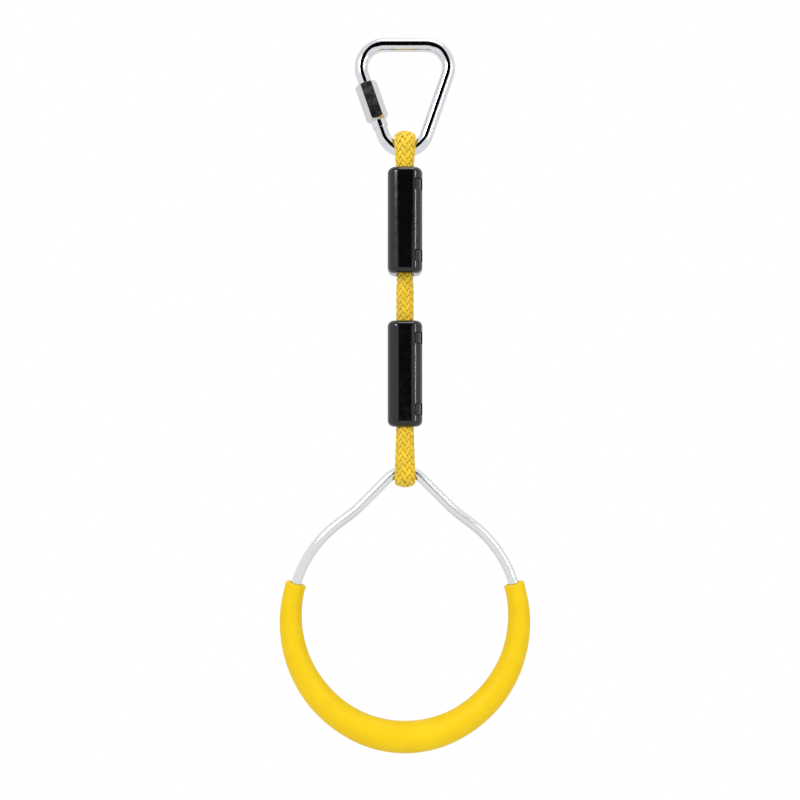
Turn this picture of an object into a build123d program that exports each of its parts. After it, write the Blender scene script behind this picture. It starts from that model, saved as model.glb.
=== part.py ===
from build123d import *

import math
import os

# Hanging hand ring: a triangular screw link, a rope clamped back on itself at both ends,
# and a bent steel ring with a soft moulded grip.
# X is across the ring, -Y is the front, Z is up. The origin is the middle of the underside of
# the link's top bar, which is where the ring hangs from its hook. All sizes are millimetres.

# ---- screw link -----------------------------------------------------------------------------
link_wire_d = 9.0             # round bar
link_corner_r = 15.2          # centre line of every rounded corner
link_top_half = 13.9          # middle plane to the centre of a top corner
link_drop = 40.0              # top corner centres down to the bottom corner centre
thread_pitch = 1.25
thread_depth = 0.65
thread_crest = 0.2            # share of each turn that is flat crest
collar_d = 10.5               # stop that the closed nut seats on
collar_length = 4.6
collar_from_corner = 5.4      # straight bar left between the collar and the bottom corner
stub_length = 1.8             # threaded end below the gate that the closed nut holds
gate_gap = 8.2                # opening of the link when the nut is run up

# ---- hexagon nut of the screw link ----------------------------------------------------------
nut_across_flats = 13.0
nut_length = 26.3
nut_bore_gap = 0.05           # running clearance round the bar
nut_counterbore_gap = 1.0     # room for the corner of the link when the nut is run up
nut_thread_length = 12.0      # close bore at the lower end
nut_top_chamfer = 0.9         # height of the turned chamfer at each end
nut_low_chamfer = 2.1
nut_top_inset = 0.4           # each end face is this much smaller than the flats
nut_low_inset = 1.1

# ---- rope -----------------------------------------------------------------------------------
rope_d = 12.0                 # free rope
strand_d = 11.0               # rope squeezed between the clamp shells
strand_gap = 0.2              # between the two strands side by side in a clamp
tail_length = 43.0            # short end, from the eye end of its clamp
rope_between = 31.0           # single rope between the two clamps
strand_bend_share = 0.47      # share of the slanted run that each of its end bends takes
upper_eye_half_width = 7.25   # the rope is pressed flat where it goes round the steel
upper_eye_half_thick = 3.9
upper_eye_gap = 0.7
upper_leg_drop = 12.8         # link bar centre down to the upper clamp
lower_eye_half_width = 7.0
lower_eye_half_thick = 3.5
lower_eye_gap = 0.5
lower_leg_drop = 29.6         # lower clamp down to the centre of the ring's top bend

# ---- clamps: two halves alike, snapped together ---------------------------------------------
clamp_length = 70.0
clamp_width = 23.0
clamp_depth = 30.0
clamp_corner_r = 8.0
clamp_end_fillet = 4.0
clamp_wall = 2.0
clamp_end_wall = 3.0
clamp_hole_gap = 0.4          # round the strands in the end holes
seam_groove_width = 0.5
seam_groove_depth = 0.3
window_from_end = 7.7
window_height = 7.7
window_inner_x = 6.5
latch_gap = 0.4
latch_arm_thick = 1.5
latch_root_depth = 5.0
latch_root_sink = 0.5         # into the wall it grows from
latch_nose_inset = 0.8        # nose lies this far below the outer skin
rib_thick = 1.6
crimp_length = 10.0
crimp_thick = 1.5
crimp_gap = 0.05
crimp_starts = (20.0, 32.0)   # top edges of the two bands, from the eye end of the clamp
rib_gap = 0.3                 # between a rib and the band beside it, the same rib at both ends

# ---- steel ring -----------------------------------------------------------------------------
rod_d = 7.0
ring_half_width = 76.1        # to the centre line of the rod at its widest
ring_apex_r = 15.2
ring_shoulder_turn = 45.0     # slope of the rod under the rope
ring_neck_turn = 36.5         # slope where the round part starts
ring_neck_r = 80.0
ring_neck_straight = 7.9
ring_flatten = 3.6            # how much larger the side arc is than the half width
ring_side_end = 150.0         # heading where the side arc meets the bottom arc
weld_proud = 0.7              # height of the bead above the rod
weld_length = 4.0
weld_slope = 0.9              # share of that height that is chamfered

# ---- soft grip ------------------------------------------------------------------------------
grip_start = 72.7             # heading of the rod where the grip begins
grip_bore_gap = 0.05
grip_end_d = 13.6
grip_side_d = 14.7
grip_low_side_d = 17.8
grip_quarter_d = 18.9
grip_bottom_d = 20.8
grip_low_side = 125.0         # heading where the grip is grip_low_side_d thick

# ---- worked out from the sizes above --------------------------------------------------------
wire_r = link_wire_d / 2
rod_r = rod_d / 2
strand_r = strand_d / 2
strand_y = strand_r + strand_gap / 2
link_tilt = math.degrees(math.atan2(link_top_half, link_drop))
leg_length = math.hypot(link_top_half, link_drop)
top_centre_z = wire_r - link_corner_r
bottom_centre_z = top_centre_z - link_drop
link_bar_z = bottom_centre_z - link_corner_r
upper_clamp_z = link_bar_z - upper_leg_drop
lower_clamp_z = upper_clamp_z - 2 * clamp_length - rope_between
ring_top_z = lower_clamp_z - lower_leg_drop
collar_end = leg_length - collar_from_corner
collar_start = collar_end - collar_length
stub_start = collar_start - stub_length
thread_end = stub_start - gate_gap
nut_start = collar_start - nut_length
nut_travel = collar_start - thread_end
upper_eye_r = wire_r + upper_eye_gap + upper_eye_half_thick
lower_eye_r = rod_r + lower_eye_gap + lower_eye_half_thick
ring_side_r = ring_half_width + ring_flatten


def polar(centre, radius, degrees):
    """Point at an angle on a circle, angles counted from +X towards +Z."""
    angle = math.radians(degrees)
    return (centre[0] + radius * math.cos(angle), centre[1] + radius * math.sin(angle))


def front_plane_bar(edges, radius):
    """Round bar along joined edges that are drawn in X and Z."""
    path = Plane.XZ * Wire(edges)
    return sweep(Plane(path @ 0, z_dir=path % 0) * Circle(radius), path=path)


def turned(points):
    """Solid turned about Z from an outline of (radius, height) points."""
    face = make_face(Plane.XZ * Polyline(*points, close=True))
    return revolve(face, axis=Axis.Z)


# ---- link and nut ---------------------------------------------------------------------------
def leg_frame():
    """Frame on the link's left leg: Z runs down the leg from the top corner, X points outwards."""
    x, z = polar((-link_top_half, top_centre_z), link_corner_r, 180 + link_tilt)
    down = (link_top_half / leg_length, 0, -link_drop / leg_length)
    outwards = (-link_drop / leg_length, 0, -link_top_half / leg_length)
    return Plane(origin=(x, 0, z), x_dir=outwards, z_dir=down)


def leg_point(distance):
    """Point on the left leg's centre line as (x, z), a distance below the top corner."""
    start = polar((-link_top_half, top_centre_z), link_corner_r, 180 + link_tilt)
    share = distance / leg_length
    return (start[0] + link_top_half * share, start[1] - link_drop * share)


def thread(start, end):
    """Threaded bar along Z with a V groove for each turn."""
    points = [(0, start)]
    turns = max(1, int((end - start) / thread_pitch))
    pitch = (end - start) / turns
    for turn in range(turns):
        base = start + turn * pitch
        points.append((wire_r - thread_depth, base))
        points.append((wire_r, base + (1 - thread_crest) / 2 * pitch))
        points.append((wire_r, base + (1 + thread_crest) / 2 * pitch))
    points.append((wire_r - thread_depth, end))
    points.append((0, end))
    return turned(points)


def link_body():
    top_left = (-link_top_half, top_centre_z)
    top_right = (link_top_half, top_centre_z)
    bottom = (0, bottom_centre_z)
    corner = 90 + link_tilt
    edges = [
        Line(leg_point(collar_end), leg_point(leg_length)),
        CenterArc(bottom, link_corner_r, 180 + link_tilt, 180 - 2 * link_tilt),
        Line(polar(bottom, link_corner_r, -link_tilt), polar(top_right, link_corner_r, -link_tilt)),
        CenterArc(top_right, link_corner_r, -link_tilt, corner),
        Line(polar(top_right, link_corner_r, 90), polar(top_left, link_corner_r, 90)),
        CenterArc(top_left, link_corner_r, 90, corner),
        Line(leg_point(0), leg_point(nut_start)),
    ]
    collar = Pos(0, 0, collar_start) * extrude(Circle(collar_d / 2), amount=collar_length)
    ends = thread(nut_start, thread_end) + thread(stub_start, collar_start) + collar
    return front_plane_bar(edges, wire_r) + leg_frame() * ends


def link_nut():
    corner_r = nut_across_flats / math.sqrt(3)
    corners = [polar((0, 0), corner_r, 60 * side) for side in range(6)]
    blank = extrude(make_face(Polyline(*corners, close=True)), amount=nut_length)
    flat_r = nut_across_flats / 2
    turned_ends = turned([
        (0, 0),
        (flat_r - nut_top_inset, 0),
        (corner_r, nut_top_chamfer),
        (corner_r, nut_length - nut_low_chamfer),
        (flat_r - nut_low_inset, nut_length),
        (0, nut_length),
    ])
    bore = extrude(Circle(wire_r + nut_bore_gap), amount=nut_length)
    counterbore = extrude(Circle(wire_r + nut_counterbore_gap), amount=nut_length - nut_thread_length)
    nut = (blank & turned_ends) - bore - counterbore
    return leg_frame() * (Pos(0, 0, nut_start) * nut)


# ---- rope -----------------------------------------------------------------------------------
def flat_loop(radius, half_width, half_thick):
    """Upper half of a rope loop about the X axis, pressed flat."""
    section = Pos(0, -radius, 0) * Ellipse(half_width, half_thick)
    return revolve(section, axis=Axis.X, revolution_arc=-180)


def rope_leg(side, eye_y, drop, half_width, half_thick):
    """One leg from the flat loop at z = 0 down to the round strand at the clamp."""
    top = Pos(0, side * eye_y, 0) * Ellipse(half_width, half_thick)
    low = Pos(0, side * strand_y, -drop) * Circle(strand_r)
    return loft([top, low])


def long_strand_points():
    """Hand-set route of the long strand in a clamp, as (y, z) from the clamp's eye end."""
    return [(-strand_y, 0), (-strand_y, -50.0), (0, -63.0), (0, -clamp_length)]


def strand_bend_r():
    """Radius of the two bends that bring the long strand back to the middle."""
    start, end = long_strand_points()[1:3]
    turn = math.atan2(end[0] - start[0], start[1] - end[1])
    return strand_bend_share * math.dist(start, end) / math.tan(turn / 2)


def clamp_strands():
    """Both strands inside a clamp, whose eye end is at z = 0."""
    path = Plane.YZ * FilletPolyline(*long_strand_points(), radius=strand_bend_r())
    section = Plane(path @ 0, z_dir=path % 0) * Circle(strand_r)
    long_strand = sweep(section, path=path)
    tail = Pos(0, strand_y, 0) * extrude(Circle(strand_r), amount=-tail_length)
    report_tube("strand in clamp", long_strand, path.length, math.pi * strand_r**2)
    return long_strand + tail


def report_tube(name, solid, length, area):
    """Prints a tube's volume beside its section times its length."""
    print(f"{name}: length {length:.1f}, volume {solid.volume:.0f}, section x length {area * length:.0f}")


def rope_end(eye_r, half_width, half_thick, drop):
    """Loop, legs and strands of one rope end, hung from a bar whose centre is at z = 0."""
    loop = flat_loop(eye_r, half_width, half_thick)
    report_tube("loop", loop, math.pi * eye_r, math.pi * half_width * half_thick)
    front = rope_leg(-1, eye_r, drop, half_width, half_thick)
    back = rope_leg(1, eye_r, drop, half_width, half_thick)
    return loop + front + back + Pos(0, 0, -drop) * clamp_strands()


def rope_upper():
    end = rope_end(upper_eye_r, upper_eye_half_width, upper_eye_half_thick, upper_leg_drop)
    return Pos(0, 0, link_bar_z) * end


def rope_lower():
    end = rope_end(lower_eye_r, lower_eye_half_width, lower_eye_half_thick, lower_leg_drop)
    return Pos(0, 0, ring_top_z) * mirror(end, about=Plane.XY)


def rope_middle():
    top_z = upper_clamp_z - clamp_length
    return Pos(0, 0, top_z) * extrude(Circle(rope_d / 2), amount=-rope_between)


# ---- clamps ---------------------------------------------------------------------------------
def oval(radius):
    """Outline round both strands, each with the given radius about its own centre."""
    return Rot(0, 0, 90) * SlotCenterToCenter(2 * strand_y, 2 * radius)


def clamp_prism(inset, top, bottom):
    """Rounded block with the clamp's outline, drawn in by an inset, between two heights."""
    outline = RectangleRounded(clamp_width - 2 * inset, clamp_depth - 2 * inset, clamp_corner_r - inset)
    return Pos(0, 0, top) * extrude(outline, amount=bottom - top)


def block(x_range, y_range, z_range):
    """Box between two limits along each axis."""
    sizes = [high - low for low, high in (x_range, y_range, z_range)]
    centre = [(low + high) / 2 for low, high in (x_range, y_range, z_range)]
    return Pos(*centre) * Box(*sizes)


def window_heights():
    """Lower and upper edge of each snap window, from the clamp's eye end at z = 0."""
    top = -window_from_end
    bottom = -(clamp_length - window_from_end)
    return [(top - window_height, top), (bottom, bottom + window_height)]


def clamp_blank():
    """Both halves of a clamp in one piece: hollow, with end holes and inner ribs."""
    outer = clamp_prism(0, 0, -clamp_length)
    outer = fillet(outer.faces().filter_by(Axis.Z).edges(), clamp_end_fillet)
    blank = outer - clamp_prism(clamp_wall, -clamp_end_wall, clamp_end_wall - clamp_length)
    rib_top = rib_gap + rib_thick - crimp_starts[0]
    for top in (rib_top, rib_thick - clamp_length - rib_top):
        blank += clamp_prism(clamp_wall / 2, top, top - rib_thick)
    return blank - extrude(oval(strand_r + clamp_hole_gap), amount=-clamp_length)


def latch(low, high):
    """Snap hook on the left edge of the front half, reaching a window of the back half."""
    wall_x = clamp_width / 2 - clamp_wall
    arm_x = wall_x - latch_gap
    nose_y = clamp_depth / 2 - clamp_corner_r + latch_gap
    heights = (low + latch_gap, high - latch_gap)
    root = block((-wall_x - latch_root_sink, latch_arm_thick - arm_x), (-latch_root_depth, -latch_gap), heights)
    arm = block((-arm_x, latch_arm_thick - arm_x), (-latch_root_depth, nose_y + 1), heights)
    nose_box = block((-clamp_width, -window_inner_x - latch_gap), (nose_y, clamp_depth), heights)
    nose = nose_box & clamp_prism(latch_nose_inset, 0, -clamp_length)
    return root + arm + nose


def clamp_half():
    """Front half of a clamp, with its eye end at z = 0."""
    half = split(clamp_blank(), bisect_by=Plane.XZ, keep=Keep.TOP)
    corner_y = clamp_depth / 2 - clamp_corner_r
    skin = clamp_prism(-1, 1, -clamp_length - 1) - clamp_prism(seam_groove_depth, 1, -clamp_length - 1)
    groove = skin & block((-clamp_width, clamp_width), (-seam_groove_width / 2, 1), (-clamp_length, 0))
    half -= groove
    for low, high in window_heights():
        half -= block((window_inner_x, clamp_width), (-clamp_depth, -corner_y), (low, high))
        half += latch(low, high)
    return half


def crimp_band():
    """Oval steel band round both strands, with its upper edge at z = 0."""
    inner_r = strand_r + crimp_gap
    return extrude(oval(inner_r + crimp_thick) - oval(inner_r), amount=-crimp_length)


def add_clamp(parts, name, eye_z, turn_over):
    """Adds one clamp's two halves and two bands. The lower clamp hangs with its eye end down."""
    front = clamp_half()
    halves = {"front": front, "back": Rot(0, 0, 180) * front}
    for side, half in halves.items():
        top_z = eye_z + clamp_length if turn_over else eye_z
        parts[f"{name}_clamp_{side}"] = Pos(0, 0, top_z) * half
    for band, start in zip(("outer", "inner"), crimp_starts):
        placed = Pos(0, 0, -start) * crimp_band()
        placed = mirror(placed, about=Plane.XY) if turn_over else placed
        parts[f"{name}_crimp_{band}"] = Pos(0, 0, eye_z) * placed


# ---- ring and grip --------------------------------------------------------------------------
def ring_shoulder_straight():
    """Straight length under the rope that gives the ring its width."""
    steep = math.radians(ring_shoulder_turn)
    shallow = math.radians(ring_neck_turn)
    reach = ring_half_width - ring_apex_r * math.sin(steep)
    reach -= ring_neck_r * (math.sin(steep) - math.sin(shallow))
    reach -= ring_neck_straight * math.cos(shallow)
    reach -= ring_side_r * (1 - math.sin(shallow))
    return reach / math.cos(steep)


def ring_bottom_r():
    """Radius of the bottom arc that closes the ring on its middle plane."""
    end = math.sin(math.radians(ring_side_end))
    return (ring_half_width - ring_side_r * (1 - end)) / end


class Pen:
    """Draws joined edges in X and Z, heading right and then turning clockwise."""

    def __init__(self, x, z):
        self.at = (x, z)
        self.heading = 0.0
        self.edges = []
        self.grip_from = 0

    def straight(self, length):
        end = polar(self.at, length, -self.heading)
        self.edges.append(Line(self.at, end))
        self.at = end

    def bend(self, radius, heading):
        """Arc that ends at a heading, turning clockwise if the heading grows."""
        side = 1 if heading > self.heading else -1
        centre = polar(self.at, radius, -self.heading - side * 90)
        start_angle = side * 90 - self.heading
        self.edges.append(CenterArc(centre, radius, start_angle, self.heading - heading))
        self.at = polar(centre, radius, side * 90 - heading)
        self.heading = heading


def ring_pen():
    """Right half of the ring's centre line, from the top to the bottom."""
    pen = Pen(0, ring_top_z)
    pen.bend(ring_apex_r, ring_shoulder_turn)
    pen.straight(ring_shoulder_straight())
    pen.bend(ring_neck_r, ring_neck_turn)
    pen.straight(ring_neck_straight)
    pen.bend(ring_side_r, grip_start)
    pen.grip_from = len(pen.edges)
    pen.bend(ring_side_r, 90)
    pen.bend(ring_side_r, grip_low_side)
    pen.bend(ring_side_r, ring_side_end)
    pen.bend(ring_bottom_r(), 180)
    return pen


def ring_bottom_z():
    return ring_pen().at[1]


def weld(gap):
    """Bead round the butt joint at the bottom of the ring."""
    bead = Rot(0, 90, 0) * Cylinder(rod_r + weld_proud + gap, weld_length + 2 * gap)
    bead = chamfer(bead.edges().filter_by(GeomType.CIRCLE), weld_proud * weld_slope)
    return Pos(0, 0, ring_bottom_z()) * bead


def ring_rod():
    right = front_plane_bar(ring_pen().edges, rod_r)
    return right + mirror(right, about=Plane.YZ) + weld(0)


def grip_span(edge, start_d, end_d):
    """Grip round one arc of the rod, tapering from one diameter to another."""
    path = Plane.XZ * edge
    sections = []
    for share, diameter in ((0, start_d), (1, end_d)):
        sections.append(Plane(path @ share, z_dir=path % share) * Circle(diameter / 2))
    return sweep(Sketch() + sections, path=path, multisection=True)


def ring_grip():
    pen = ring_pen()
    sizes = (grip_end_d, grip_side_d, grip_low_side_d, grip_quarter_d, grip_bottom_d)
    spans = pen.edges[pen.grip_from:]
    right = grip_span(spans[0], sizes[0], sizes[1])
    for index in range(1, len(spans)):
        right += grip_span(spans[index], sizes[index], sizes[index + 1])
    bore = front_plane_bar(pen.edges[pen.grip_from - 1:], rod_r + grip_bore_gap)
    both = right + mirror(right, about=Plane.YZ)
    return both - bore - mirror(bore, about=Plane.YZ) - weld(grip_bore_gap)


def build():
    parts = {
        "link_body": link_body(),
        "link_nut": link_nut(),
        "rope_upper": rope_upper(),
        "rope_middle": rope_middle(),
        "rope_lower": rope_lower(),
    }
    add_clamp(parts, "upper", upper_clamp_z, False)
    add_clamp(parts, "lower", lower_clamp_z, True)
    parts["ring_rod"] = ring_rod()
    parts["ring_grip"] = ring_grip()
    return parts


os.makedirs("parts", exist_ok=True)
for node, shape in build().items():
    export_step(shape, f"parts/{node}.step")
print(f"link bar z {link_bar_z:.2f}, clamps {upper_clamp_z:.2f} and {lower_clamp_z:.2f}")
print(f"ring top z {ring_top_z:.2f}, ring bottom z {ring_bottom_z():.2f}, nut travel {nut_travel:.2f}")
print(f"rope loop radii {upper_eye_r:.1f} and {lower_eye_r:.1f}, strand bends {strand_bend_r():.1f}")
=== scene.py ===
# %% [markdown]
# # A hanging gymnastics ring
# One hand ring for a climbing line: a screw link at the top, a braided rope that is clamped back on
# itself at both ends, and a bent steel ring with a soft moulded grip. The hard parts arrive as a fixed
# CAD frame, so this notebook gives them their finishes and models the soft parts round them: the rope
# and the grip. Everything is in metres.

# %% Load the frame
import math

import bpy
import numpy as np
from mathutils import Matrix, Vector


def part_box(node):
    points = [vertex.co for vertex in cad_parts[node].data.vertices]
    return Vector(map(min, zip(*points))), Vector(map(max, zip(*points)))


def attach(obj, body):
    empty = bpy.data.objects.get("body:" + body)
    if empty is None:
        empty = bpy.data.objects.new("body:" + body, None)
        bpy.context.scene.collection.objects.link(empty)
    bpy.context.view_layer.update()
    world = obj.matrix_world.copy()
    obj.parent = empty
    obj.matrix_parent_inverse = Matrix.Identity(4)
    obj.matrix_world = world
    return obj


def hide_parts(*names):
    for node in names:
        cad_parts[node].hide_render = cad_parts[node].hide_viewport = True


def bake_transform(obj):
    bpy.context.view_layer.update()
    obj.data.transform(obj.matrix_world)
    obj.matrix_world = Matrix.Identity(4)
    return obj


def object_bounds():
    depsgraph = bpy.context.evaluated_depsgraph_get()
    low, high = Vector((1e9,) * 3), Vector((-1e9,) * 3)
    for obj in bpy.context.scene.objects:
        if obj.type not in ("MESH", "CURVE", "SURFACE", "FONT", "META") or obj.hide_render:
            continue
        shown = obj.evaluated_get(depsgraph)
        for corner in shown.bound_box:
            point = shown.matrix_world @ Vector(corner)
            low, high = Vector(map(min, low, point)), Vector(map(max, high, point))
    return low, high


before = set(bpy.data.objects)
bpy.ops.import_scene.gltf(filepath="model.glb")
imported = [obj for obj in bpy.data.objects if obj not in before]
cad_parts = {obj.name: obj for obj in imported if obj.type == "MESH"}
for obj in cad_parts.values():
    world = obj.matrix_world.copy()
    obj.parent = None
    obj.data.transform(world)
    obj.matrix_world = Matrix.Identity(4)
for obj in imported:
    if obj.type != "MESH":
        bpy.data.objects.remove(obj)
cad_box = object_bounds()
MM = 0.001
print("CAD box", [list(corner) for corner in cad_box])

# %% [markdown]
# ## Colours and nodes
# A hex colour is written in sRGB, but a shader works with linear light, so one function converts it.
# A second one adds a node, sets it and links it, which keeps each material short enough to read.

# %% Two helpers for materials
def linear(hex_colour):
    """sRGB hex colour as a linear RGBA tuple."""
    channels = [int(hex_colour[i:i + 2], 16) / 255 for i in (1, 3, 5)]
    return tuple(c / 12.92 if c <= 0.04045 else ((c + 0.055) / 1.055) ** 2.4 for c in channels) + (1.0,)


def add_node(tree, kind, inputs=None, **settings):
    """Adds a node. An input given as a socket is linked, and any other value is set."""
    node = tree.nodes.new(kind)
    for name, value in settings.items():
        setattr(node, name, value)
    for name, value in (inputs or {}).items():
        if isinstance(value, bpy.types.NodeSocket):
            tree.links.new(value, node.inputs[name])
        else:
            node.inputs[name].default_value = value
    return node


def new_material(name, **values):
    """Material with one Principled shader whose sockets are set by name."""
    material = bpy.data.materials.new(name)
    material.use_nodes = True
    shader = material.node_tree.nodes["Principled BSDF"]
    for socket, value in values.items():
        shader.inputs[socket.replace("_", " ")].default_value = value
    return material, material.node_tree, shader


def noise(tree, size, detail=2.0, stretch=(1, 1, 1)):
    """Noise on Object coordinates whose blotches are about one size across, in metres."""
    place = add_node(tree, "ShaderNodeTexCoord")
    mapping = add_node(tree, "ShaderNodeMapping", {"Vector": place.outputs["Object"], "Scale": stretch})
    return add_node(tree, "ShaderNodeTexNoise",
                    {"Vector": mapping.outputs["Vector"], "Scale": 1 / size, "Detail": detail})


def spread(tree, value, low, high):
    """Stretches the middle part of a 0 to 1 value over a range."""
    return add_node(tree, "ShaderNodeMapRange",
                    {"Value": value, "From Min": 0.3, "From Max": 0.7, "To Min": low, "To Max": high})


# %% [markdown]
# ## Camera
# The ring is seen square on, from its own mid height, by a normal lens at arm's length. A camera that
# is level with the middle keeps the uprights parallel. How much of the object's plane the picture
# takes in sets the distance.

# %% Camera
LENS_MM = 50.0
SENSOR_MM = 36.0
SHOWN_WIDTH = 533.3 * MM
AIM_LEFT = 3.3 * MM
AIM_LOW = 3.0 * MM
middle_z = (cad_box[0].z + cad_box[1].z) / 2
camera_distance = SHOWN_WIDTH * LENS_MM / SENSOR_MM
bpy.ops.object.select_all(action="DESELECT")
bpy.ops.object.camera_add(location=(-AIM_LEFT, -camera_distance, middle_z - AIM_LOW),
                          rotation=(math.radians(90), 0, 0))
camera = bpy.context.object
camera.data.lens = LENS_MM
camera.data.sensor_width = SENSOR_MM
bpy.context.scene.camera = camera
print(f"camera {camera_distance:.3f} m in front")

# %% [markdown]
# ## The rope's route
# The rope is one length of 12 mm braid. It starts inside the upper clamp, goes up the back, over the
# link's lower bend and down the front, through both clamps, under the ring's top bend and back up
# into the lower clamp. The load pulls it straight between the steel parts. A smooth NURBS line with
# these points as its control points is the centre line that every strand follows.

# %% Rope route
ROPE_D = 12.0 * MM
SAME_POINT = 1e-7             # points closer than this are one point
STRAND_Y = 5.6                # half the distance between two strands side by side in a clamp
LOOP_UP = (9.1, 62.1, 3.8, 56.8)      # upper loop: y and -z of its shoulder, then of its top
LOOP_DOWN = (7.5, 282.4, 3.1, 286.8)  # lower loop: y and -z of its shoulder, then of its bottom
route_mm = [
    (STRAND_Y, -121.7), (STRAND_Y, -100.0), (STRAND_Y, -79.7),
    (LOOP_UP[0], -LOOP_UP[1]), (LOOP_UP[2], -LOOP_UP[3]),
    (-LOOP_UP[2], -LOOP_UP[3]), (-LOOP_UP[0], -LOOP_UP[1]),
    (-STRAND_Y, -79.7), (-STRAND_Y, -100.0), (-STRAND_Y, -128.7),
    (0, -141.7), (0, -155.0), (0, -173.0), (0, -186.7),
    (-STRAND_Y, -199.7), (-STRAND_Y, -228.0), (-STRAND_Y, -249.0),
    (-LOOP_DOWN[0], -LOOP_DOWN[1]), (-LOOP_DOWN[2], -LOOP_DOWN[3]),
    (LOOP_DOWN[2], -LOOP_DOWN[3]), (LOOP_DOWN[0], -LOOP_DOWN[1]),
    (STRAND_Y, -249.0), (STRAND_Y, -228.0), (STRAND_Y, -206.7),
]


def smooth_line(points):
    """Points read from a NURBS line that has the given control points."""
    curve = bpy.data.curves.new("route", "CURVE")
    curve.dimensions = "3D"
    spline = curve.splines.new("NURBS")
    spline.points.add(len(points) - 1)
    for control, (y, z) in zip(spline.points, points):
        control.co = (0, y * MM, z * MM, 1)
    spline.order_u = 3
    spline.use_endpoint_u = True
    spline.resolution_u = 32
    holder = bpy.data.objects.new("route", curve)
    bpy.context.scene.collection.objects.link(holder)
    bpy.context.view_layer.update()
    mesh = bpy.data.meshes.new_from_object(holder)
    line = np.array([vertex.co for vertex in mesh.vertices])
    bpy.data.objects.remove(holder)
    return line


rope_line = smooth_line(route_mm)
steps = np.linalg.norm(np.diff(rope_line, axis=0), axis=1)
rope_line = rope_line[np.concatenate([[True], steps > SAME_POINT])]
rope_along = np.concatenate([[0], np.cumsum(np.linalg.norm(np.diff(rope_line, axis=0), axis=1))])
rope_length = rope_along[-1]
print(f"rope line {rope_length:.4f} m in {len(rope_line)} points")

# %% [markdown]
# ## The rope's section
# The rope is round where it is free, a little squeezed in the clamps and pressed flat where it bears
# on steel. So each place along it has a half width (across the object) and a half thickness (in the
# plane of the loops), found by interpolation between a few stations counted from the two loops.

# %% Rope section along its length
top_of_loop = rope_along[np.argmax(rope_line[:, 2])]
bottom_of_loop = rope_along[np.argmin(rope_line[:, 2])]
rope_middle = (top_of_loop + bottom_of_loop) / 2
section_stations = [  # place along the rope, half width, half thickness
    (top_of_loop - 40 * MM, 5.5, 5.5), (top_of_loop - 27 * MM, 5.9, 5.2),
    (top_of_loop - 13 * MM, 7.0, 4.2), (top_of_loop, 7.25, 4.0),
    (top_of_loop + 13 * MM, 7.0, 4.2), (top_of_loop + 27 * MM, 5.9, 5.2),
    (top_of_loop + 40 * MM, 5.5, 5.5),
    (rope_middle - 20 * MM, 5.6, 5.6), (rope_middle - 12 * MM, 5.95, 5.95),
    (rope_middle + 12 * MM, 5.95, 5.95), (rope_middle + 20 * MM, 5.6, 5.6),
    (bottom_of_loop - 52 * MM, 5.5, 5.5), (bottom_of_loop - 38 * MM, 6.0, 5.4),
    (bottom_of_loop - 12 * MM, 6.9, 3.8), (bottom_of_loop, 7.0, 3.6),
    (bottom_of_loop + 12 * MM, 6.9, 3.8), (bottom_of_loop + 38 * MM, 6.0, 5.4),
    (bottom_of_loop + 52 * MM, 5.5, 5.5),
]
station_at, station_wide, station_thick = np.array(section_stations).T
LOOK_ALONG = 0.3 * MM         # how far ahead and behind the rope's heading is read


def rope_frame(along):
    """Centre, sideways direction, half width and half thickness at places along the rope."""
    centre = np.stack([np.interp(along, rope_along, rope_line[:, axis]) for axis in range(3)], axis=-1)
    ahead, behind = (
        np.stack([np.interp(along + step, rope_along, rope_line[:, axis]) for axis in range(3)], -1)
        for step in (LOOK_ALONG, -LOOK_ALONG))
    heading = ahead - behind
    heading /= np.linalg.norm(heading, axis=-1, keepdims=True)
    sideways = np.cross(heading, [1.0, 0, 0])
    wide = np.interp(along, station_at, station_wide) * MM
    thick = np.interp(along, station_at, station_thick) * MM
    return centre, sideways, wide, thick


# %% [markdown]
# ## Braiding the rope
# A kernmantle or hollow braid has two sets of strands that wind round it in opposite directions.
# Here 12 go each way, and each passes over two and under two. Whether a strand is over or under then
# depends only on its angle round the rope, which gives the columns of slanted picks, like a
# herringbone, that run down this rope. Each strand is a flat tube whose centre rises and dips with
# that rule. Strands are sampled finely where they show and coarsely inside the clamps.

# %% Braid
STRANDS_EACH_WAY = 12
TURN_LENGTH = 55.0 * MM
STRAND_THICK = 1.15 * MM
STRAND_RISE = 0.38 * MM
STRAND_SIDES = 6
FINE_STEP = 0.72 * MM
COARSE_STEP = 3.0 * MM
COVER = 0.97                  # share of its place that a strand fills
PICK_FLATNESS = 1.25          # above 1, a strand stays up or down a while before it crosses
CORE_SINK = 1.2               # the core lies this many rises below the strands
TONE_STEP = 0.618             # keeps the tones of neighbouring strands apart
TONE_SHIFT = 0.31             # sets the two directions apart in tone
braid_angle = math.atan(math.pi * ROPE_D / TURN_LENGTH)


def rope_samples():
    """Places along the rope, close together wherever it is out of the clamps."""
    places = [0.0]
    shown = [(top_of_loop, 31 * MM), (rope_middle, 19 * MM), (bottom_of_loop, 47 * MM)]
    while places[-1] < rope_length:
        near = any(abs(places[-1] - middle) < reach for middle, reach in shown)
        places.append(places[-1] + (FINE_STEP if near else COARSE_STEP))
    places[-1] = rope_length
    return np.array(places)


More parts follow.
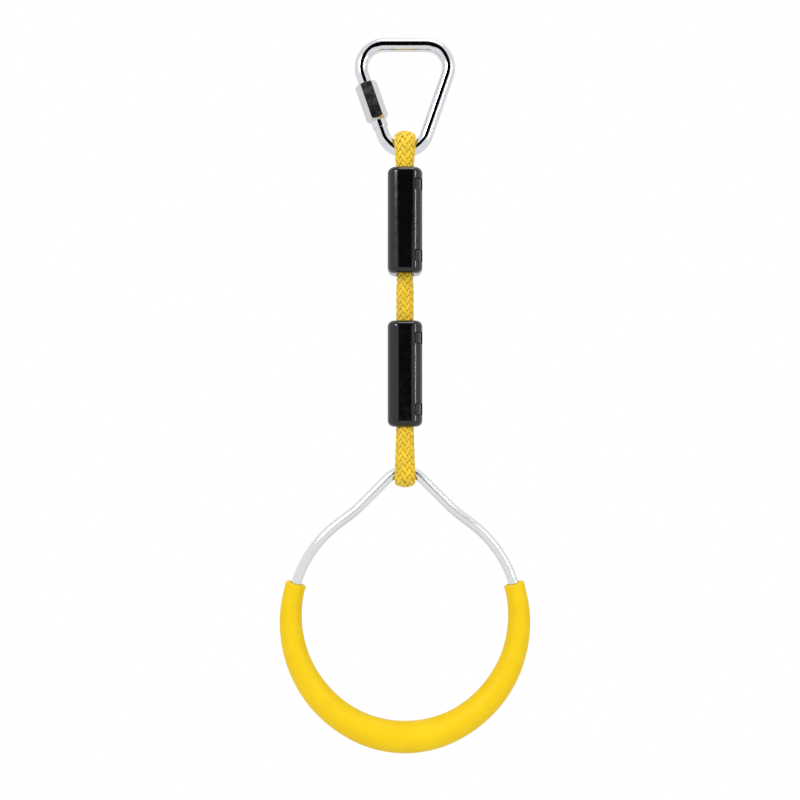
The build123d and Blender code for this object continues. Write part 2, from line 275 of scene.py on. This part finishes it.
def strand_tube(along, number, hand):
    """Rings of points for one strand, with its height at each ring."""
    turn = hand * 2 * math.pi * along / TURN_LENGTH + 2 * math.pi * number / STRANDS_EACH_WAY
    over = np.clip(PICK_FLATNESS * hand * np.cos(STRANDS_EACH_WAY / 2 * turn - math.pi / 4), -1, 1)
    centre, sideways, wide, thick = rope_frame(along)
    lift = STRAND_RISE * (over - 1) - STRAND_THICK / 2
    across, up = np.cos(turn)[:, None], np.sin(turn)[:, None]
    x_way = np.array([1.0, 0, 0])
    spine = centre + across * (wide + lift)[:, None] * x_way + up * (thick + lift)[:, None] * sideways
    outward = across / wide[:, None] * x_way + up / thick[:, None] * sideways
    outward /= np.linalg.norm(outward, axis=1, keepdims=True)
    tangent = np.gradient(spine, axis=0)
    tangent /= np.linalg.norm(tangent, axis=1, keepdims=True)
    flank = np.cross(tangent, outward)
    room = np.hypot(wide * np.sin(turn), thick * np.cos(turn)) * 2 * math.pi / STRANDS_EACH_WAY
    half_width = (room * math.cos(braid_angle) * COVER / 2)[:, None]
    rings = []
    for side in range(STRAND_SIDES):
        angle = 2 * math.pi * side / STRAND_SIDES
        bulge = outward * math.sin(angle) * STRAND_THICK / 2
        rings.append(spine + flank * math.cos(angle) * half_width + bulge)
    return np.stack(rings, axis=1), (over + 1) / 2


def tube_faces(first, rings, sides):
    """Quads of a closed tube whose rings of points start at one index, with both ends capped."""
    faces = []
    for ring in range(rings - 1):
        low = first + ring * sides
        for side in range(sides):
            nxt = (side + 1) % sides
            faces.append((low + side, low + nxt, low + sides + nxt, low + sides + side))
    last = first + (rings - 1) * sides
    faces.append(tuple(range(first + sides - 1, first - 1, -1)))
    faces.append(tuple(range(last, last + sides)))
    return faces


def core_tube(along, sides):
    """Plain tube under the strands, which closes the view between them."""
    centre, sideways, wide, thick = rope_frame(along)
    inset = STRAND_THICK + CORE_SINK * STRAND_RISE
    rings = []
    for side in range(sides):
        angle = 2 * math.pi * side / sides
        point = centre + np.array([1.0, 0, 0]) * (math.cos(angle) * (wide - inset))[:, None]
        rings.append(point + sideways * (math.sin(angle) * (thick - inset))[:, None])
    return np.stack(rings, axis=1)


places = rope_samples()
points, faces, heights, tones, lengths = [], [], [], [], []
CORE_SIDES = 16
tubes = [(core_tube(places, CORE_SIDES), np.zeros(len(places)), 0.5)]
for hand in (1, -1):
    for number in range(STRANDS_EACH_WAY):
        rings, height = strand_tube(places, number, hand)
        tone = (number * TONE_STEP + (TONE_SHIFT if hand > 0 else 0)) % 1
        tubes.append((rings, height, tone))
first_point = 0
for rings, height, tone in tubes:
    count, sides = rings.shape[:2]
    faces.extend(tube_faces(first_point, count, sides))
    points.append(rings.reshape(-1, 3))
    heights.append(np.repeat(height, sides))
    tones.append(np.full(count * sides, tone))
    lengths.append(np.repeat(places, sides))
    first_point += count * sides

rope_mesh = bpy.data.meshes.new("rope_braid")
rope_mesh.from_pydata(np.concatenate(points).tolist(), [], faces)
for name, values in (("height", heights), ("tone", tones), ("along", lengths)):
    attribute = rope_mesh.attributes.new(name, "FLOAT", "POINT")
    attribute.data.foreach_set("value", np.concatenate(values).astype(np.float32))
rope = bpy.data.objects.new("rope_braid", rope_mesh)
bpy.context.scene.collection.objects.link(rope)
rope_mesh.polygons.foreach_set("use_smooth", [True] * len(rope_mesh.polygons))
print(f"rope {len(places)} rings, {len(faces)} faces")

# %% [markdown]
# An outward face has its normal away from the strand's own middle. The strands that wind the other
# way come out inside out, so the whole mesh has its normals made consistent in edit mode.

# %% Turn the rope's faces outwards
def recalculate_outside(piece):
    """Makes a piece's face normals point outwards."""
    bpy.ops.object.select_all(action="DESELECT")
    bpy.context.view_layer.objects.active = piece
    piece.select_set(True)
    bpy.ops.object.mode_set(mode="EDIT")
    bpy.ops.mesh.select_all(action="SELECT")
    bpy.ops.mesh.normals_make_consistent(inside=False)
    bpy.ops.object.mode_set(mode="OBJECT")


recalculate_outside(rope)

# %% [markdown]
# ## Rope finish: braided polyester
# Polyester braid is smooth yarn with a soft satin gloss. Its colour is one strong yellow. What the eye
# reads is light on the raised picks and a brown-gold shade in the dips between them, so the height of
# each strand drives the colour: the dips get a painted shade, a darker brown-gold. Fine filaments run
# along every strand and are too thin to see from arm's length, so a slight bump stands for them.

# %% Rope material
YELLOW_RAISED = "#EFC91A"
# painted shade: the dark brown-gold that the sunk parts of the strands are given
YELLOW_PAINTED_DIP_SHADE = "#8F6F05"
FILAMENT = 0.45 * MM
rope_finish, tree, shader = new_material(
    "braided_polyester_yellow", Roughness=0.5, IOR=1.5, Sheen_Weight=0.25, Sheen_Roughness=0.4)
height = add_node(tree, "ShaderNodeAttribute", attribute_name="height")
tone = add_node(tree, "ShaderNodeAttribute", attribute_name="tone")
worn = noise(tree, 9 * MM, 3)
# painted shade: the lower a strand lies, the more of the dark brown-gold it gets
shade = add_node(tree, "ShaderNodeMapRange",
                 {"Value": height.outputs["Fac"], "From Min": 0.1, "From Max": 0.75})
base = add_node(tree, "ShaderNodeMix",
                {"Factor": shade.outputs["Result"], "A": linear(YELLOW_PAINTED_DIP_SHADE), "B": linear(YELLOW_RAISED)},
                data_type="RGBA")
vary = spread(tree, tone.outputs["Fac"], 0.94, 1.05)
patch = spread(tree, worn.outputs["Fac"], 0.95, 1.05)
gain = add_node(tree, "ShaderNodeMath", {0: vary.outputs["Result"], 1: patch.outputs["Result"]},
                operation="MULTIPLY")
colour = add_node(tree, "ShaderNodeHueSaturation",
                  {"Color": base.outputs["Result"], "Value": gain.outputs["Value"]})
fibres = noise(tree, FILAMENT, 1, (1, 1, 0.35))
bump = add_node(tree, "ShaderNodeBump",
                {"Height": fibres.outputs["Fac"], "Strength": 0.35, "Distance": 0.15 * MM})
tree.links.new(colour.outputs["Color"], shader.inputs["Base Color"])
tree.links.new(bump.outputs["Normal"], shader.inputs["Normal"])
rope_mesh.materials.append(rope_finish)

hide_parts("rope_upper", "rope_middle", "rope_lower")
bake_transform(rope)

# %% [markdown]
# ## The soft grip
# The grip is moulded round the lower part of the rod: slim at its two ends, thickest at the bottom
# where a hand holds it. It could be a curve with a round bevel, but then its ends would be plain cuts
# and its section a circle. So it is built as by hand from circles: one stands square to the rod at
# each station, the circles are bridged, and each end is drawn in to the rod with extrude and resize.

# %% Where the rod's centre line runs
ROD_D = 7.0 * MM
WELD_D = 8.4 * MM
SIDE_FLATTEN = 3.6 * MM       # the side arcs are this much larger than the ring's half width
SIDE_END = math.radians(150)  # heading where the side arc meets the bottom arc
rod_low, rod_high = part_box("ring_rod")
half_width = rod_high.x - ROD_D / 2
side_radius = half_width + SIDE_FLATTEN
bottom_radius = (half_width - side_radius * (1 - math.sin(SIDE_END))) / math.sin(SIDE_END)
bottom_centre = Vector((0, 0, rod_low.z + WELD_D / 2 + bottom_radius))
side_way = Vector((math.sin(SIDE_END), 0, math.cos(SIDE_END)))
side_centre = bottom_centre + (bottom_radius - side_radius) * side_way


def ring_point(heading):
    """Point of the rod's centre line where it heads that many radians below level, left side mirrored."""
    mirrored = heading > math.pi
    turn = 2 * math.pi - heading if mirrored else heading
    centre, radius = (side_centre, side_radius) if turn < SIDE_END else (bottom_centre, bottom_radius)
    point = centre + radius * Vector((math.sin(turn), 0, math.cos(turn)))
    if mirrored:
        point.x = -point.x
    return point


print(f"ring half width {half_width:.4f}, bottom {ring_point(math.pi).z:.4f}")

# %% [markdown]
# The grip's thickness is given at a few headings and smoothed between them. Three extra circles close
# to each end round its edge off.

# %% Circles along the rod
GRIP_START = math.radians(72.7)
GRIP_STATIONS = 72
GRIP_SEGMENTS = 48
DEEPER = 1.06                 # the grip is this much deeper than it is high
EDGE_ROUND = 0.9 * MM
thick_at = np.radians([72.7, 76, 80, 90, 109, 125, 146, 165, 180])
thick_mm = [13.9, 13.5, 13.8, 14.7, 16.2, 17.8, 19.0, 20.4, 20.8]


def grip_thickness(heading):
    """Thickness of the grip at a heading, a mean over a short stretch so that it swells evenly."""
    turn = min(heading, 2 * math.pi - heading)
    window = np.clip(turn + np.radians(np.linspace(-4, 4, 9)), thick_at[0], math.pi)
    near_end = turn < thick_at[2]
    sample = [turn] if near_end else window
    return float(np.mean(np.interp(sample, thick_at, thick_mm))) * MM


def grip_headings():
    """Headings of all stations, with close ones at both ends for the rounded edge."""
    edge = [EDGE_ROUND * share / side_radius for share in (0, 0.3, 1.0)]
    middle = np.linspace(GRIP_START + 2 * edge[-1], 2 * math.pi - GRIP_START - 2 * edge[-1], GRIP_STATIONS)
    start = [GRIP_START + step for step in edge]
    end = [2 * math.pi - heading for heading in reversed(start)]
    return start + list(middle) + end


def edge_inset(heading):
    """How far the rounded end edge is drawn in at a heading."""
    from_end = (min(heading, 2 * math.pi - heading) - GRIP_START) * side_radius
    share = min(1, from_end / EDGE_ROUND)
    return EDGE_ROUND * (1 - math.sqrt(1 - (1 - share) ** 2))


bpy.ops.object.select_all(action="DESELECT")
bpy.ops.object.add(type="MESH", location=(0, 0, 0))
grip = bpy.context.object
grip.name = "soft_grip"
bpy.ops.object.mode_set(mode="EDIT")
headings = grip_headings()
for heading in headings:
    bpy.ops.mesh.select_all(action="DESELECT")
    place = ring_point(heading)
    radius = grip_thickness(heading) / 2 - edge_inset(heading)
    bpy.ops.mesh.primitive_circle_add(vertices=GRIP_SEGMENTS, radius=radius, location=place,
                                      rotation=(0, heading + math.pi / 2, 0))
    bpy.ops.transform.resize(value=(1, DEEPER, 1), center_override=place)
bpy.ops.mesh.select_all(action="SELECT")
bpy.ops.mesh.bridge_edge_loops(type="SINGLE", use_merge=False)
bpy.ops.object.mode_set(mode="OBJECT")
print(f"grip {len(grip.data.vertices)} points, {len(grip.data.polygons)} faces")

# %% [markdown]
# Each end is then closed the way a moulding is: the edge turns in to the rod and goes a few
# millimetres down beside it. Only the points of the first or last circle are selected for that.

# %% Draw the grip's ends in to the rod
BORE_GAP = 0.15 * MM
BORE_DEPTH = 5.0 * MM


def close_end(piece, first_vertex, heading, inward):
    """Extrudes one end circle in to the rod and then along it, into the grip."""
    centre = ring_point(heading)
    outline = grip_thickness(heading) / 2 - edge_inset(heading)
    bore = ROD_D / 2 + BORE_GAP
    for vertex in piece.data.vertices:
        vertex.select = first_vertex <= vertex.index < first_vertex + GRIP_SEGMENTS
    bpy.ops.object.mode_set(mode="EDIT")
    radius = outline
    for target in (outline - EDGE_ROUND, bore + EDGE_ROUND / 2, bore):
        bpy.ops.mesh.extrude_region_move(TRANSFORM_OT_translate={"value": (0, 0, 0)})
        share = target / radius
        bpy.ops.transform.resize(value=(share, share, share), center_override=centre)
        radius = target
    bpy.ops.mesh.extrude_region_move(TRANSFORM_OT_translate={"value": inward * BORE_DEPTH})
    bpy.ops.object.mode_set(mode="OBJECT")


bpy.ops.object.select_all(action="DESELECT")
bpy.context.view_layer.objects.active = grip
grip.select_set(True)
bpy.context.tool_settings.mesh_select_mode = (True, False, False)
for polygon in grip.data.polygons:
    polygon.select = False
for edge in grip.data.edges:
    edge.select = False
start_way = Vector((math.cos(GRIP_START), 0, -math.sin(GRIP_START)))
close_end(grip, 0, headings[0], start_way)
for element in (*grip.data.polygons, *grip.data.edges, *grip.data.vertices):
    element.select = False
end_way = Vector((-start_way.x, 0, start_way.z))
close_end(grip, (len(headings) - 1) * GRIP_SEGMENTS, headings[-1], end_way)
recalculate_outside(grip)
bpy.ops.object.shade_smooth_by_angle(angle=math.radians(40))
print(f"grip with ends {len(grip.data.vertices)} points, {len(grip.data.polygons)} faces")

# %% [markdown]
# ## Grip finish: moulded soft PVC
# Foamed PVC or rubber has a matt skin with a very fine pebble from the mould and slow, cloudy changes
# of tone. Where the two halves of the mould meet, a hair-thin line runs round the middle plane, on the
# outside and the inside of the curve.

# %% Grip material
GRIP_YELLOW = "#F3CD08"
GRIP_CLOUD = "#EDC606"
MOULD_LINE = 0.25 * MM
grip_finish, tree, shader = new_material(
    "moulded_soft_pvc_yellow", Roughness=0.5, IOR=1.5, Specular_IOR_Level=0.2)
cloud = noise(tree, 14 * MM, 4)
cloud_share = spread(tree, cloud.outputs["Fac"], 0.0, 1.0)
base = add_node(tree, "ShaderNodeMix",
                {"Factor": cloud_share.outputs["Result"], "A": linear(GRIP_YELLOW), "B": linear(GRIP_CLOUD)},
                data_type="RGBA")
rough = spread(tree, cloud.outputs["Fac"], 0.44, 0.58)
pebble = noise(tree, 0.9 * MM, 3)
place = add_node(tree, "ShaderNodeTexCoord")
split = add_node(tree, "ShaderNodeSeparateXYZ", {"Vector": place.outputs["Object"]})
from_plane = add_node(tree, "ShaderNodeMath", {0: split.outputs["Y"]}, operation="ABSOLUTE")
seam = add_node(tree, "ShaderNodeMapRange",
                {"Value": from_plane.outputs["Value"], "From Max": MOULD_LINE, "To Min": 1.5, "To Max": 0.0})
relief = add_node(tree, "ShaderNodeMath", {0: pebble.outputs["Fac"], 1: seam.outputs["Result"]},
                  operation="ADD")
bump = add_node(tree, "ShaderNodeBump",
                {"Height": relief.outputs["Value"], "Strength": 0.25, "Distance": 0.12 * MM})
tree.links.new(base.outputs["Result"], shader.inputs["Base Color"])
tree.links.new(rough.outputs["Result"], shader.inputs["Roughness"])
tree.links.new(bump.outputs["Normal"], shader.inputs["Normal"])
grip.data.materials.append(grip_finish)
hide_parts("ring_grip")
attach(grip, "ring")

# %% [markdown]
# ## Steel finishes
# The link, its nut and the ring are steel with a bright zinc or chrome plating. Polished plate is a
# mirror with slight waves and fine rubbing marks, so its roughness wanders a little and a faint,
# stretched bump breaks long reflections. The nut's flats were machined before plating, which
# leaves them a shade duller.

# %% Plated steel
def plated_steel(name, colour, low, high, grain, relief):
    """Bright plated steel whose roughness wanders between two values."""
    finish, tree, shader = new_material(name, Metallic=1.0, Base_Color=linear(colour))
    patches = noise(tree, 6 * MM, 4)
    rough = spread(tree, patches.outputs["Fac"], low, high)
    marks = noise(tree, grain, 3, (1, 1, 0.2))
    bump = add_node(tree, "ShaderNodeBump",
                    {"Height": marks.outputs["Fac"], "Strength": relief, "Distance": 0.05 * MM})
    tree.links.new(rough.outputs["Result"], shader.inputs["Roughness"])
    tree.links.new(bump.outputs["Normal"], shader.inputs["Normal"])
    return finish


link_finish = plated_steel("zinc_plated_steel_polished", "#D6D8DC", 0.05, 0.12, 0.8 * MM, 0.06)
nut_finish = plated_steel("zinc_plated_steel_machined", "#CDCFD2", 0.14, 0.24, 0.5 * MM, 0.12)
ring_finish = plated_steel("chrome_plated_steel_rod", "#DCDEE0", 0.07, 0.16, 1.0 * MM, 0.08)
crimp_finish = plated_steel("plain_pressed_steel", "#A9ABAD", 0.3, 0.45, 0.7 * MM, 0.3)

# %% [markdown]
# ## Clamp finish: moulded ABS
# The clamp shells are glossy black ABS. The gloss comes from a polished mould, so highlights are
# sharp and long, and only a slight waviness and some handling haze soften them.

# %% Black plastic
clamp_finish, tree, shader = new_material(
    "gloss_black_abs", Base_Color=linear("#08080A"), IOR=1.5, Specular_IOR_Level=0.5)
haze = noise(tree, 5 * MM, 4)
rough = spread(tree, haze.outputs["Fac"], 0.09, 0.2)
wave = noise(tree, 8 * MM, 1)
bump = add_node(tree, "ShaderNodeBump",
                {"Height": wave.outputs["Fac"], "Strength": 0.1, "Distance": 0.1 * MM})
tree.links.new(rough.outputs["Result"], shader.inputs["Roughness"])
tree.links.new(bump.outputs["Normal"], shader.inputs["Normal"])

# %% Give the CAD parts their finishes
finishes = {"link_body": link_finish, "link_nut": nut_finish, "ring_rod": ring_finish}
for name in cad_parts:
    if "_clamp_" in name:
        finishes[name] = clamp_finish
    if "_crimp_" in name:
        finishes[name] = crimp_finish
for name, finish in finishes.items():
    for material_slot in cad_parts[name].material_slots:
        material_slot.material = finish
print("finishes on", sorted(finishes))

# %% [markdown]
# ## Room and light
# Bright metal and black gloss show the room more than themselves. The room here is white on every
# side, like a light tent, with dark panels above and around the camera, which put the black bands
# into the steel. The panels are seen only in reflections, so they shade nothing.

# %% White room
ROOM_LIGHT = 0.5              # the room lights things less strongly than it shows
world = bpy.context.scene.world or bpy.data.worlds.new("studio")
bpy.context.scene.world = world
world.use_nodes = True
tree = world.node_tree
tree.nodes.clear()
ray = add_node(tree, "ShaderNodeLightPath")
seen = add_node(tree, "ShaderNodeMath", {0: ray.outputs["Is Camera Ray"], 1: ray.outputs["Is Glossy Ray"]},
                operation="MAXIMUM")
seen = add_node(tree, "ShaderNodeMath", {0: seen.outputs["Value"], 1: ray.outputs["Is Transmission Ray"]},
                operation="MAXIMUM")
soft = add_node(tree, "ShaderNodeBackground", {"Color": (1, 1, 1, 1), "Strength": ROOM_LIGHT})
white = add_node(tree, "ShaderNodeBackground", {"Color": (1, 1, 1, 1), "Strength": 1.0})
mixed = add_node(tree, "ShaderNodeMixShader",
                 {0: seen.outputs["Value"], 1: soft.outputs["Background"], 2: white.outputs["Background"]})
add_node(tree, "ShaderNodeOutputWorld", {"Surface": mixed.outputs["Shader"]})

# %% Floor
FLOOR_DROP = 0.16
FLOOR_RADIUS = 3.0
SHADOW_FADE = 0.07
KEPT_SHADOW = 0.19            # the floor is a real surface this far from its middle, then plain white
bpy.ops.object.select_all(action="DESELECT")
bpy.ops.mesh.primitive_circle_add(vertices=64, radius=FLOOR_RADIUS, fill_type="NGON",
                                  location=(0, 0, cad_box[0].z - FLOOR_DROP))
floor = bpy.context.object
floor.name = "floor"
floor_finish, tree, shader = new_material("pale_floor", Base_Color=linear("#F2F2F0"), Roughness=0.8)
place = add_node(tree, "ShaderNodeTexCoord")
away = add_node(tree, "ShaderNodeVectorMath", {0: place.outputs["Object"]}, operation="LENGTH")
far = add_node(tree, "ShaderNodeMapRange",
               {"Value": away.outputs["Value"], "From Min": KEPT_SHADOW,
                "From Max": KEPT_SHADOW + SHADOW_FADE})
ray = add_node(tree, "ShaderNodeLightPath")
seen = add_node(tree, "ShaderNodeMath", {0: ray.outputs["Is Camera Ray"], 1: ray.outputs["Is Glossy Ray"]},
                operation="MAXIMUM")
share = add_node(tree, "ShaderNodeMath", {0: seen.outputs["Value"], 1: far.outputs["Result"]},
                 operation="MULTIPLY")
glow = add_node(tree, "ShaderNodeEmission", {"Color": (1, 1, 1, 1), "Strength": 1.0})
mixed = add_node(tree, "ShaderNodeMixShader",
                 {0: share.outputs["Value"], 1: shader.outputs["BSDF"], 2: glow.outputs["Emission"]})
tree.links.new(mixed.outputs["Shader"], tree.nodes["Material Output"].inputs["Surface"])
floor.data.materials.append(floor_finish)

# %% Dark panels
panel_finish = new_material("black_flag", Base_Color=linear("#030303"), Roughness=1.0,
                            Specular_IOR_Level=0.0)[0]


def dark_panel(name, location, size):
    """Upright black card that shows only in reflections."""
    bpy.ops.object.select_all(action="DESELECT")
    bpy.ops.mesh.primitive_plane_add(size=1, location=location, rotation=(math.radians(90), 0, 0))
    panel = bpy.context.object
    panel.name = name
    panel.scale = (size[0], size[1], 1)
    panel.data.materials.append(panel_finish)
    for kind in ("camera", "diffuse", "transmission", "volume_scatter", "shadow"):
        setattr(panel, f"visible_{kind}", False)


dark_panel("panel_over_camera", (0.05, -0.80, 0.42), (0.80, 0.86))
dark_panel("panel_round_camera", (0, -0.80, -0.16), (0.34, 0.32))

# %% Lamps
def soft_lamp(name, location, size, watts):
    """Soft box that faces the middle of the object."""
    bpy.ops.object.select_all(action="DESELECT")
    bpy.ops.object.light_add(type="AREA", location=location)
    lamp = bpy.context.object
    lamp.name = name
    lamp.data.shape = "RECTANGLE"
    lamp.data.size, lamp.data.size_y = size
    lamp.data.energy = watts
    aim = Vector((0, 0, middle_z)) - Vector(location)
    lamp.rotation_euler = aim.to_track_quat("-Z", "Y").to_euler()
    lamp.visible_camera = False


soft_lamp("key", (-0.9, -1.2, 0.5), (0.5, 0.5), 11.5)
soft_lamp("fill", (1.1, -0.9, 0.1), (0.06, 0.9), 5)
soft_lamp("top", (0.2, -0.2, 1.2), (0.7, 0.7), 6.5)

# %% Plain picture settings
bpy.context.scene.view_settings.view_transform = "Standard"
